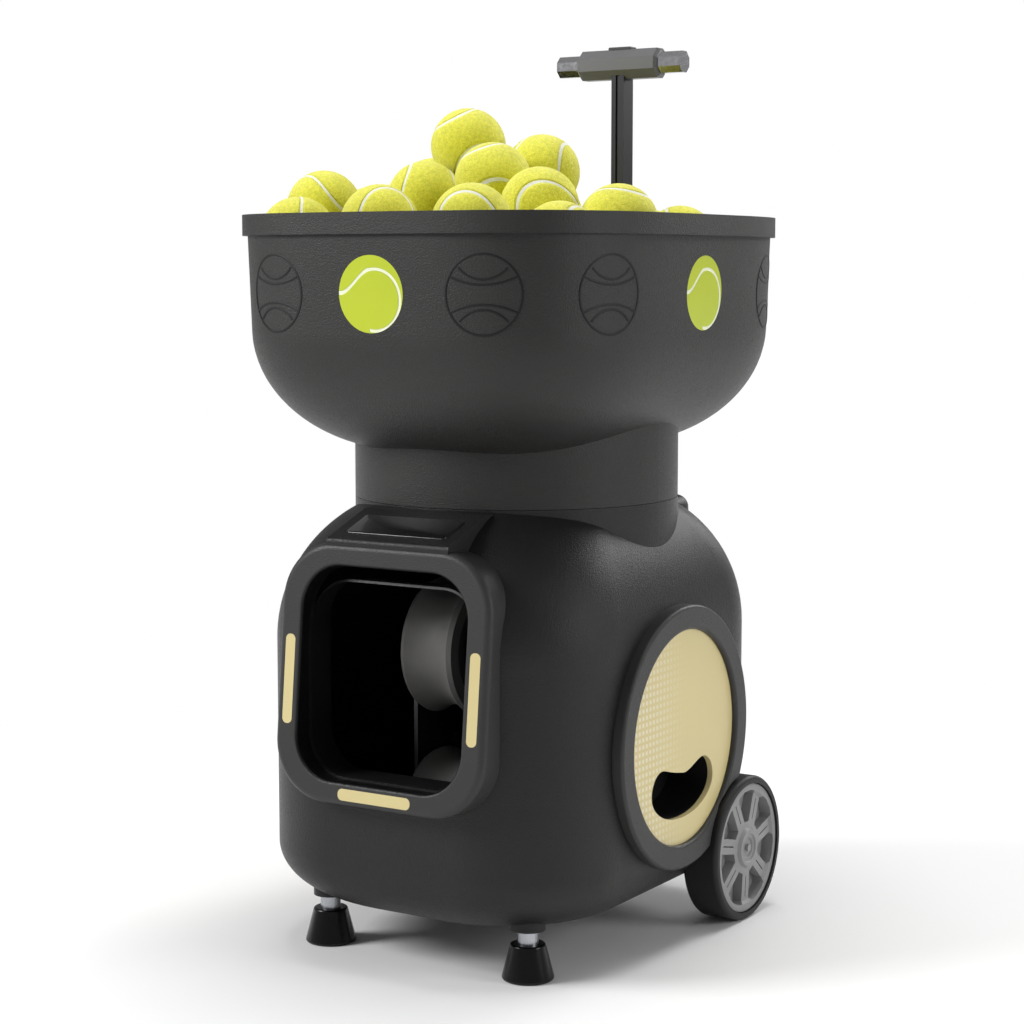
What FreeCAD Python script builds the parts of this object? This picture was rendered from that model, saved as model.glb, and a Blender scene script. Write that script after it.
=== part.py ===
"""Tennis ball machine: a ball hopper on a rounded body with a two-wheel throwing head, on a trolley with a pull-up mast.

Millimetres, +Z up, the front faces -Y, and the origin is on the ground under the middle of the hopper.
Each piece is one STEP file in parts/, named after the piece.
"""
import FreeCAD, Part
import math
import os

V = FreeCAD.Vector

# ---- driving dimensions ------------------------------------------------------------------------
FIT = 0.05              # radial running fit of a shaft in its bore
GAP = 0.4               # clearance between pieces that move past each other
WALL = 3.5              # wall of the mouldings

# Body shell
BODY_HALF_X = 168.0     # half the body's width
BODY_FRONT = -205.0     # front wall
BODY_REAR = 185.0       # rear wall
BODY_BOTTOM = 42.0      # underside above the ground
FRONT_CORNER_R = 100.0  # corner radii in plan
REAR_CORNER_R = 80.0
BOTTOM_EDGE_R = 50.0    # rounding of the bottom edge
SHOULDER_Z = 274.0      # where the shoulder starts to curve in
SHOULDER_R = 130.0      # height radius of the shoulder's curve
SHOULDER_PULL = 0.725   # how far the shoulder comes in for each mm of its height radius
PAN_TOP = 96.0          # seam between the base pan and the body shell

# Neck and hopper
NECK_R = 146.4
NECK_SEAM = 396.0       # the hopper lifts off here
NECK_MEETS = 474.0      # the neck runs up to here inside the bowl
HOPPER_HALF_X = 189.0
HOPPER_HALF_Y = 224.7
HOPPER_POWER = 3.6      # exponent of the hopper's superellipse plan
HOPPER_WALL_Z = 545.0   # the straight wall starts here
HOPPER_TOP = 646.0
BOWL_DEPTH = 105.0      # height of the bowl's curve
BOWL_REACH = 115.0      # how far the bowl's curve comes in
DRAFT = 0.03            # outward lean of the straight wall
LIP_HEIGHT = 18.0
LIP_PROUD = 3.5
EMBLEM_R = 32.0
EMBLEM_Z = 579.0
EMBLEM_DEEP = 1.4

# Balls and the feeder
BALL_R = 33.5
WALL_SPACE = 0.7        # space left between a ball and the bowl
HEAP_TOP = 717.0        # centre of the highest ball of the heap
HEAP_SLOPE = 0.36       # fall of the heap's surface away from its peak
HEAP_PEAK = (-55.0, -20.0)
PITCH_R = 66.0          # radius of the circle of pockets in the carousel
POCKETS = 5
POCKET_R = 36.0
CAROUSEL_R = 106.0
CAROUSEL_THICK = 24.0
CONE_R = 30.0           # cone in the middle of the carousel that stirs the balls
CONE_TOP_R = 10.0
CONE_TALL = 12.0
DECK_Z = 380.0          # underside of the feed deck
DECK_THICK = 5.0
DROP_TUBE_LENGTH = 72.0

# Throwing head
YAW_Y = PITCH_R         # the head turns about the line that the balls drop down
PIVOT_Z = 192.0         # height of the tilting axis and of the nip
WHEEL_Y = -90.0
WHEEL_R = 60.0
WHEEL_WIDE = 52.0
NIP = 33.0              # gap between the crests of the two throw wheels
DISH = 8.0              # depth of the hollow in their treads
PLATE_X = 38.0          # inner face of each side plate
PLATE_THICK = 4.0
MOTOR_R = 21.0
MOTOR_LONG = 46.0
SHAFT_R = 4.0
TURNTABLE_R = 58.0
TURNTABLE_THICK = 6.0
BEARING_R = 40.0
BEARING_TALL = 10.0
YOKE_X = 50.0
YOKE_WIDE = 36.0
PIN_R = 5.0

# Front opening
OPENING_HALF_X = 84.0
OPENING_LOW = 167.0
OPENING_HIGH = 350.0
OPENING_CORNER = 38.0
BEZEL_SIDE = 23.0       # width of the bezel's sides
BEZEL_END = 19.5        # width of its top and bottom
BEZEL_CORNER = 52.0
BEZEL_Y = -217.0        # front of the bezel at mid height
BEZEL_TILT = 5.5        # degrees that it leans back
STRIP_WIDE = 10.0
STRIP_DEEP = 1.5

# Control pod on the shoulder
POD_HALF_X = 62.0
PANEL_LONG = 102.0
PANEL_WIDE = 36.0
PANEL_THICK = 3.0

# Side discs with hand grips
DISC_Y = 0.0
DISC_Z = 190.0
DISC_R = 95.5
RING_R = 117.0
RING_PROUD = 10.0
DISC_PROUD = 5.0
GRIP_HALF = 57.0        # half the width of the hand grip
GRIP_TOP = -24.0        # heights from the middle of the disc
GRIP_BOTTOM = -72.0
CUP_DEEP = 42.0
CUP_WALL = 2.5

# Trolley wheels, axle and feet
TROLLEY_R = 67.0
TROLLEY_Y = 112.0
TROLLEY_OUT = 184.0     # outer face of the tyre
TROLLEY_WIDE = 35.0
TYRE_THICK = 7.0
SPOKES = 7
AXLE_R = 6.0
WELL_R = 71.0
WELL_DEEP = 3.0         # space between the tyre and the well's inner wall
FOOT_X = 104.0
FOOT_Y = -148.0
FOOT_ROD_R = 9.0
FOOT_TALL = 31.0
FOOT_TOP_R = 15.0
FOOT_BASE_R = 23.0
FOOT_SOCKET_R = 15.0

# Mast and grip
MAST_Y = 192.0
MAST_TUBE_X = 19.0      # outer tube, across and deep
MAST_TUBE_Y = 24.0
MAST_WALL = 2.45
MAST_TUBE_LOW = 62.0
MAST_TUBE_HIGH = 520.0
POLE_LOW = 200.0
GRIP_Z = 795.0
GRIP_LONG = 135.0
GRIP_BAR = 20.0
SLEEVE_LONG = 87.0
SLEEVE_TALL = 28.0
BUTTON_LONG = 24.0
BUTTON_WIDE = 12.0

pieces = {}


# ---- helpers -----------------------------------------------------------------------------------
def box(x0, x1, y0, y1, z0, z1):
    return Part.makeBox(x1 - x0, y1 - y0, z1 - z0, V(x0, y0, z0))


def rod(start, end, radius):
    line = V(*end) - V(*start)
    return Part.makeCylinder(radius, line.Length, V(*start), line)


def ring(start, end, outer, inner):
    return rod(start, end, outer).cut(rod(start, end, inner))


def prism(points, direction):
    corners = [V(*p) for p in points]
    return Part.Face(Part.makePolygon(corners + corners[:1])).extrude(V(*direction))


def mirrored(shape):
    return shape.mirror(V(0, 0, 0), V(1, 0, 0))


def both_sides(shape):
    return Part.makeCompound([shape, mirrored(shape)])


def one(shape):
    """The largest solid of a result, cleaned of seams."""
    return max(shape.removeSplitter().Solids, key=lambda s: s.Volume)


def rounded_outline(half_x, low, high, corner):
    """A rounded rectangle in the XZ plane."""
    inner_x, c = half_x - corner, corner * math.sqrt(0.5)
    edges = []
    sides = [(1, low, 1), (1, high, -1), (-1, high, -1), (-1, low, 1)]
    for i, (side, end, up) in enumerate(sides):
        centre = V(side * inner_x, 0, end + up * corner)
        on_end = centre - V(0, 0, up * corner)
        on_side = centre + V(side * corner, 0, 0)
        middle = centre + V(side * c, 0, -up * c)
        first, last = (on_end, on_side) if i % 2 == 0 else (on_side, on_end)
        edges.append(Part.Arc(first, middle, last).toShape())
    joined = []
    for i, edge in enumerate(edges):
        following = edges[(i + 1) % 4]
        joined += [edge, Part.makeLine(edge.Vertexes[-1].Point, following.Vertexes[0].Point)]
    return Part.Wire(Part.__sortEdges__(joined))


# ---- body --------------------------------------------------------------------------------------
def body_plan(inset, z):
    """The body's plan at height z, drawn in by inset."""
    hx, front, rear = BODY_HALF_X - inset, BODY_FRONT + inset, BODY_REAR - inset
    c = math.sqrt(0.5)
    corners = [(1, front, 1, FRONT_CORNER_R), (1, rear, -1, REAR_CORNER_R),
               (-1, rear, -1, REAR_CORNER_R), (-1, front, 1, FRONT_CORNER_R)]
    arcs = []
    for i, (side, end, inward, radius) in enumerate(corners):
        centre = V(side * (hx - radius), end + inward * radius, z)
        on_end, on_side = centre - V(0, inward * radius, 0), centre + V(side * radius, 0, 0)
        middle = centre + V(side * radius * c, -inward * radius * c, 0)
        first, last = (on_end, on_side) if i % 2 == 0 else (on_side, on_end)
        arcs.append(Part.Arc(first, middle, last).toShape())
    edges = []
    for i, arc in enumerate(arcs):
        following = arcs[(i + 1) % 4]
        edges += [arc, Part.makeLine(arc.Vertexes[-1].Point, following.Vertexes[0].Point)]
    return Part.Wire(edges)


def shoulder_inset(z):
    rise = max(0.0, z - SHOULDER_Z)
    return SHOULDER_PULL * (SHOULDER_R - math.sqrt(SHOULDER_R ** 2 - rise ** 2))


def body_solid(wall):
    """The body's outside when wall is 0, or its inside, drawn in by wall."""
    low = BODY_BOTTOM + wall
    edge = BOTTOM_EDGE_R - wall
    bottom = []
    for step in range(6):
        turn = math.radians(90 * step / 5)
        bottom.append(body_plan(wall + edge * (1 - math.sin(turn)), low + edge * (1 - math.cos(turn))))
    top = NECK_SEAM - 1
    shoulder = []
    for step in range(8):
        z = SHOULDER_Z + (top - SHOULDER_Z) * step / 7
        shoulder.append(body_plan(wall + shoulder_inset(z), z))
    walls = Part.Face(body_plan(wall, low + edge)).extrude(V(0, 0, SHOULDER_Z - low - edge))
    body = Part.makeLoft(bottom, True, False).fuse(walls).fuse(Part.makeLoft(shoulder, True, False))
    return body.fuse(rod((0, 0, SHOULDER_Z + 50), (0, 0, NECK_SEAM), NECK_R - wall)).removeSplitter()


def tilted(shape):
    """Leans a shape that was drawn in the XZ plane back to the bezel's plane."""
    middle = (OPENING_LOW + OPENING_HIGH) / 2
    shape.translate(V(0, BEZEL_Y, 0))
    shape.rotate(V(0, BEZEL_Y, middle), V(1, 0, 0), -BEZEL_TILT)
    return shape


def kidney(grow):
    """The hand grip's outline on the side disc, grown by grow, in the YZ plane."""
    half, top, low = GRIP_HALF + grow, GRIP_TOP + grow, GRIP_BOTTOM - grow
    right = [(0.42 * half, top - 3), (0.72 * half, top), (0.94 * half, top - 8), (half, top - 22),
             (0.62 * half, low + 6)]
    left = [(-y, z) for y, z in reversed(right)]
    points = [(0, top - 8)] + right + [(0, low)] + left
    curve = Part.BSplineCurve()
    curve.interpolate([V(0, DISC_Y + y, DISC_Z + z) for y, z in points], PeriodicFlag=True)
    return Part.Face(Part.Wire(curve.toShape()))


def grip_prism(grow, start, end):
    face = kidney(grow)
    face.translate(V(start, 0, 0))
    return face.extrude(V(end - start, 0, 0))


def wheel_well(extra):
    inner = TROLLEY_OUT - TROLLEY_WIDE - WELL_DEEP - extra
    well = rod((inner, TROLLEY_Y, TROLLEY_R), (inner + 80, TROLLEY_Y, TROLLEY_R), WELL_R + extra)
    below = box(inner, inner + 80, TROLLEY_Y - WELL_R - extra, TROLLEY_Y + WELL_R + extra, 0, TROLLEY_R)
    return well.fuse(below)


def mast_channel(extra):
    half, front = MAST_TUBE_X / 2 + extra, MAST_Y - MAST_TUBE_Y / 2 - extra
    return box(-half, half, front, front + 90, 0, HOPPER_TOP + 20)


def build_body():
    outside, inside = body_solid(0), body_solid(WALL)
    wells = wheel_well(0).fuse(mirrored(wheel_well(0)))
    thick_wells = wheel_well(WALL).fuse(mirrored(wheel_well(WALL)))
    outside = outside.cut(wells).cut(mast_channel(0.1))
    inside = inside.cut(thick_wells).cut(mast_channel(WALL))
    shell = outside.cut(inside)
    shell = shell.cut(rod((0, 0, NECK_SEAM - 20), (0, 0, NECK_SEAM + 1), NECK_R - WALL))

    opening = Part.Face(rounded_outline(OPENING_HALF_X, OPENING_LOW, OPENING_HIGH, OPENING_CORNER))
    opening.translate(V(0, BODY_FRONT - 60, 0))
    shell = shell.cut(opening.extrude(V(0, 150, 0)))
    for side in (1, -1):
        start = side * (BODY_HALF_X - 20)
        shell = shell.cut(grip_prism(CUP_WALL, start, side * (BODY_HALF_X + 20)))
    axle_hole = rod((-TROLLEY_OUT, TROLLEY_Y, TROLLEY_R), (TROLLEY_OUT, TROLLEY_Y, TROLLEY_R), AXLE_R + 0.3)
    shell = shell.cut(axle_hole)
    for x in (-FOOT_X, FOOT_X):
        shell = shell.cut(rod((x, FOOT_Y, 0), (x, FOOT_Y, PAN_TOP), FOOT_SOCKET_R))
    shell = shell.cut(switch_box(0)).cut(socket_hole())
    half = box(-300, 300, -300, 300, 0, PAN_TOP)
    pieces["base_pan"] = one(shell.common(half))
    pieces["body_shell"] = one(shell.cut(half))

    # Rear fairing: a raised back behind the neck, around the mast
    fairing = box(-88, 88, 60, BODY_REAR + 3, 285, 385)
    uprights = [e for e in fairing.Edges if e.BoundBox.ZLength > 90 and e.BoundBox.YMin > 100]
    fairing = fairing.makeFillet(26, uprights)
    tops = [e for e in fairing.Edges if e.BoundBox.ZMin > 384.9 and e.BoundBox.YMax > 100]
    fairing = fairing.makeFillet(12, tops)
    fairing = fairing.cut(body_solid(0)).cut(mast_channel(0.1))
    pieces["rear_fairing"] = one(fairing)
    return body_solid(0)


def build_front(outside):
    outline = rounded_outline(OPENING_HALF_X + BEZEL_SIDE, OPENING_LOW - BEZEL_END,
                              OPENING_HIGH + BEZEL_END, BEZEL_CORNER)
    hole = rounded_outline(OPENING_HALF_X, OPENING_LOW, OPENING_HIGH, OPENING_CORNER)
    block = Part.Face(outline).extrude(V(0, 70, 0))
    front_edges = [e for e in block.Edges if e.BoundBox.YMax < 0.01]
    block = block.makeFillet(6, front_edges)
    block = block.cut(Part.Face(hole).extrude(V(0, 80, 0)))
    lip_edges = [e for e in block.Edges if e.BoundBox.YMax < 0.01
                 and e.BoundBox.XMax < OPENING_HALF_X + 0.1 and e.BoundBox.XMin > -OPENING_HALF_X - 0.1
                 and e.BoundBox.ZMin > OPENING_LOW - 0.1 and e.BoundBox.ZMax < OPENING_HIGH + 0.1]
    block = block.makeFillet(3, lip_edges)

    side_x, middle = OPENING_HALF_X + BEZEL_SIDE / 2 - 1, (OPENING_LOW + OPENING_HIGH) / 2
    side = box(side_x - STRIP_WIDE / 2, side_x + STRIP_WIDE / 2, 0, STRIP_DEEP, middle - 47, middle + 30)
    bottom_z = OPENING_LOW - BEZEL_END / 2
    bottom = box(-37, 37, 0, STRIP_DEEP, bottom_z - STRIP_WIDE / 2, bottom_z + STRIP_WIDE / 2)
    strips = []
    for strip in (side, mirrored(side), bottom):
        upright = [e for e in strip.Edges if e.BoundBox.YLength > STRIP_DEEP - 0.01
                   and e.BoundBox.XLength < 0.01 and e.BoundBox.ZLength < 0.01]
        strips.append(strip.makeFillet(STRIP_WIDE * 0.45, upright))
    for strip in strips:
        block = block.cut(strip)
    bezel = tilted(block).cut(outside)
    pieces["bezel_strips"] = Part.makeCompound([tilted(s) for s in strips])

    # Throat: the short tube that lines the opening inside the shell
    throat_wall = 2.0
    tube = Part.Face(rounded_outline(OPENING_HALF_X + throat_wall, OPENING_LOW - throat_wall,
                                     OPENING_HIGH - 14, OPENING_CORNER)).extrude(V(0, 30, 0))
    tube = tube.cut(Part.Face(rounded_outline(OPENING_HALF_X, OPENING_LOW, OPENING_HIGH - 14 - throat_wall,
                                              OPENING_CORNER - throat_wall)).extrude(V(0, 30, 0)))
    tube.translate(V(0, BODY_FRONT + WALL, 0))
    pieces["throat"] = one(tube.common(body_solid(WALL)))

    # Control pod between the neck and the bezel
    outline = [(-POD_HALF_X, -110, 393), (-POD_HALF_X, -149, 393), (-POD_HALF_X, -206, 372),
               (-POD_HALF_X, -204, 330), (-POD_HALF_X, -110, 330)]
    pod = prism(outline, (2 * POD_HALF_X, 0, 0))
    slope = math.degrees(math.atan2(21, 57))
    ridge = [e for e in pod.Edges if e.BoundBox.XLength > POD_HALF_X and e.BoundBox.ZMin > 371
             and e.BoundBox.YMin < -148]
    pod = pod.makeFillet(4, ridge)
    panel = box(-PANEL_LONG / 2, PANEL_LONG / 2, -PANEL_WIDE / 2, PANEL_WIDE / 2, -PANEL_THICK, 0)
    corners = [e for e in panel.Edges if e.BoundBox.ZLength > PANEL_THICK - 0.1]
    panel = panel.makeFillet(6, corners)
    panel.rotate(V(0, 0, 0), V(1, 0, 0), slope)
    panel.translate(V(0, -178.6, 382.1) + V(0, 0.55, -1.5))
    pocket = panel.copy()
    pocket.translate(V(0, -0.5, 1.4))
    pod = pod.cut(panel).cut(pocket)
    outer_bezel = bezel.fuse(tilted(Part.Face(hole).extrude(V(0, 70, 0))))
    pieces["control_pod"] = one(pod.cut(outside).cut(outer_bezel))
    pieces["control_panel"] = one(panel.cut(outside))
    pieces["front_bezel"] = one(bezel)


def build_sides(outside):
    x0, x1 = BODY_HALF_X - 60, BODY_HALF_X + RING_PROUD
    boss = ring((x0, DISC_Y, DISC_Z), (x1, DISC_Y, DISC_Z), RING_R, DISC_R)
    outer_edge = [e for e in boss.Edges if e.BoundBox.XMin > x1 - 0.01]
    boss = boss.makeFillet(3, outer_edge).cut(outside).cut(wheel_well(-1.0))
    disc = rod((BODY_HALF_X, DISC_Y, DISC_Z), (BODY_HALF_X + DISC_PROUD, DISC_Y, DISC_Z), DISC_R)
    disc = disc.cut(grip_prism(0, BODY_HALF_X - 1, BODY_HALF_X + DISC_PROUD + 1))
    outer_cup = grip_prism(CUP_WALL, BODY_HALF_X - CUP_DEEP, BODY_HALF_X)
    cup = outer_cup.cut(grip_prism(0, BODY_HALF_X - CUP_DEEP + CUP_WALL, BODY_HALF_X + 1))
    for name, shape in (("side_rings", one(boss)), ("side_discs", one(disc)), ("grip_cups", one(cup))):
        pieces[name] = both_sides(shape)


# ---- hopper ------------------------------------------------------------------------------------
def bowl_inset(z):
    """How far the bowl's curve comes in from the straight wall at height z."""
    share = min(1.0, max(0.0, HOPPER_WALL_Z - z) / BOWL_DEPTH)
    return BOWL_REACH * (1 - math.sqrt(1 - share ** 2)) - DRAFT * (z - HOPPER_WALL_Z)


def hopper_half(z):
    inset = bowl_inset(z)
    return HOPPER_HALF_X - inset, HOPPER_HALF_Y - inset


def superellipse(half_x, half_y, z):
    points, count = [], 48
    for i in range(count):
        turn = 2 * math.pi * (i + 0.5) / count
        c, s = math.cos(turn), math.sin(turn)
        reach = (abs(c) ** HOPPER_POWER + abs(s) ** HOPPER_POWER) ** (-1 / HOPPER_POWER)
        points.append(V(half_x * reach * c, half_y * reach * s, z))
    curve = Part.BSplineCurve()
    curve.interpolate(points, PeriodicFlag=True)
    return Part.Wire(curve.toShape())


def hopper_solid(wall, top):
    levels = [HOPPER_WALL_Z - BOWL_DEPTH * math.sin(math.radians(76 * (1 - step / 7))) for step in range(8)]
    sections = []
    for z in levels + [top]:
        half_x, half_y = hopper_half(z)
        sections.append(superellipse(half_x - wall, half_y - wall, z))
    bowl = Part.makeLoft(sections[:-1], True, False)
    straight = Part.makeLoft(sections[-2:], True, True)
    neck = rod((0, 0, NECK_SEAM + GAP), (0, 0, NECK_MEETS), NECK_R - wall)
    return bowl.fuse(straight).fuse(neck)


def build_hopper():
    outside = hopper_solid(0, HOPPER_TOP)
    inside = hopper_solid(WALL, HOPPER_TOP + 1)
    half_x, half_y = hopper_half(HOPPER_TOP)
    lip_wire = superellipse(half_x + LIP_PROUD, half_y + LIP_PROUD, HOPPER_TOP - LIP_HEIGHT)
    lip = Part.Face(lip_wire).extrude(V(0, 0, LIP_HEIGHT))
    clearance = 1.0
    outside = outside.fuse(lip).cut(mast_channel(clearance))
    shell = outside.cut(inside.cut(mast_channel(clearance + WALL)))
    shell = shell.cut(rod((0, 0, NECK_SEAM), (0, 0, 450), NECK_R - WALL))
    emblems = []
    for turn, half in ((0, HOPPER_HALF_Y), (90, HOPPER_HALF_X), (180, HOPPER_HALF_Y), (270, HOPPER_HALF_X)):
        if turn == 180:
            continue
        lean = DRAFT * (EMBLEM_Z - HOPPER_WALL_Z)
        disc = rod((0, -half - lean + EMBLEM_DEEP, EMBLEM_Z), (0, -half - 12, EMBLEM_Z), EMBLEM_R)
        disc.rotate(V(0, 0, 0), V(0, 0, 1), turn)
        emblems.append(one(disc.common(outside)))
        shell = shell.cut(disc)
    pieces["hopper_shell"] = one(shell)
    pieces["emblem_discs"] = Part.makeCompound(emblems)

    # Funnel: the sloping ring that leads the balls onto the carousel
    inner, outer, thick = CAROUSEL_R + 1.5, NECK_R - WALL, 3.0
    low = NECK_SEAM + 8
    rise = (outer - inner) * 0.6
    profile = [(inner, 0, low), (outer, 0, low + rise), (outer, 0, low + rise + thick), (inner, 0, low + thick)]
    corners = [V(*p) for p in profile]
    face = Part.Face(Part.makePolygon(corners + corners[:1]))
    pieces["hopper_funnel"] = face.revolve(V(0, 0, 0), V(0, 0, 1), 360)
    return low + thick, inner, 0.6


def build_balls(funnel):
    """Drops balls one by one, each at the place where it comes to lie best for a heap."""
    funnel_z, funnel_r, slope = funnel
    floor = DECK_Z + DECK_THICK + 1 + CAROUSEL_THICK
    reach = BALL_R + 0.5

    def ground(r):
        if r < CONE_R:
            return floor + CONE_TALL * min(1, (CONE_R - r) / (CONE_R - CONE_TOP_R))
        return floor if r < funnel_r else funnel_z + (r - funnel_r) * slope

    around = [2 * math.pi * i / 24 for i in range(24)]

    def clear_of_walls(x, y, z):
        for share in (-0.98, -0.92, -0.84, -0.75, -0.65, -0.53, -0.4, -0.2, 0, 0.3, 0.6):
            level, spread = z + share * BALL_R, math.sqrt(1 - share ** 2) * BALL_R
            half_x, half_y = hopper_half(level)
            room_x, room_y = half_x - WALL - WALL_SPACE, half_y - WALL - WALL_SPACE
            for turn in around:
                px, py = x + spread * math.cos(turn), y + spread * math.sin(turn)
                if level < NECK_MEETS and math.hypot(px, py) < NECK_R - WALL - 0.5:
                    continue
                if (abs(px) / room_x) ** HOPPER_POWER + (abs(py) / room_y) ** HOPPER_POWER > 1:
                    return False
        return True

    def settle(x, y, z):
        """The height at or above z at which a ball at x, y is clear of the bowl, or None where it may not lie."""
        channel = math.hypot(max(0, abs(x) - 18), max(0, MAST_Y - MAST_TUBE_Y / 2 - 5 - y))
        if channel < reach + 1:
            return None
        while z < HOPPER_WALL_Z and not clear_of_walls(x, y, z):
            z += 0.5
        under_grip = abs(x) < GRIP_LONG / 2 + reach and y > 110 and z > 600
        too_high = z + HEAP_SLOPE * math.hypot(x - HEAP_PEAK[0], y - HEAP_PEAK[1]) > HEAP_TOP
        return None if under_grip or too_high or not clear_of_walls(x, y, z) else z

    balls, spacing, heights = [], 2 * BALL_R + GAP, {}
    for i in range(1, 1400):
        x = (2 * (i * 0.7548776662 % 1) - 1) * (HOPPER_HALF_X - BALL_R)
        y = (2 * (i * 0.5698402910 % 1) - 1) * (HOPPER_HALF_Y - BALL_R)
        shares = [k / 10 for k in range(-9, 10)]
        z = max(ground(abs(math.hypot(x, y) + s * reach)) + reach * math.sqrt(1 - s * s) for s in shares)
        heights[x, y] = settle(x, y, z)
    while any(z is not None for z in heights.values()):
        bx, by = min((place for place in heights if heights[place] is not None), key=heights.get)
        bz = heights[bx, by]
        balls.append((bx, by, bz))
        for (x, y), z in heights.items():
            apart = (x - bx) ** 2 + (y - by) ** 2
            if z is not None and apart < spacing ** 2:
                heights[x, y] = settle(x, y, max(z, bz + math.sqrt(spacing ** 2 - apart)))
    pieces["tennis_balls"] = Part.makeCompound([Part.makeSphere(BALL_R, V(*b)) for b in balls])


# ---- feeder ------------------------------------------------------------------------------------
def build_feeder():
    top = DECK_Z + DECK_THICK
    deck = rod((0, 0, DECK_Z), (0, 0, top), NECK_R - WALL)
    drop = rod((0, YAW_Y, DECK_Z - 1), (0, YAW_Y, top + 1), POCKET_R)
    deck = deck.cut(drop).cut(rod((0, 0, DECK_Z - 1), (0, 0, top + 1), SHAFT_R + 2))
    pieces["feed_deck"] = one(deck.cut(mast_channel(WALL)))
    pieces["drop_tube"] = ring((0, YAW_Y, DECK_Z - DROP_TUBE_LENGTH), (0, YAW_Y, DECK_Z), POCKET_R + 2, POCKET_R)
    motor = rod((0, 0, DECK_Z - 35), (0, 0, DECK_Z), 22)
    shaft_hole = rod((0, 0, DECK_Z - 20), (0, 0, DECK_Z + 1), SHAFT_R + FIT)
    pieces["feeder_motor"] = motor.cut(shaft_hole)

    low = top + 1
    disc = rod((0, 0, low), (0, 0, low + CAROUSEL_THICK), CAROUSEL_R)
    cone = Part.makeCone(CONE_R, CONE_TOP_R, CONE_TALL, V(0, 0, low + CAROUSEL_THICK))
    disc = disc.fuse(cone)
    for i in range(POCKETS):
        turn = math.radians(90 + 360 * i / POCKETS)
        x, y = PITCH_R * math.cos(turn), PITCH_R * math.sin(turn)
        disc = disc.cut(rod((x, y, low - 1), (x, y, low + 40), POCKET_R))
    disc = disc.cut(rod((0, 0, low - 1), (0, 0, low + 18), SHAFT_R))
    pieces["carousel"] = one(disc)
    pieces["carousel_shaft"] = rod((0, 0, DECK_Z - 19), (0, 0, low + 18), SHAFT_R)


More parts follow.
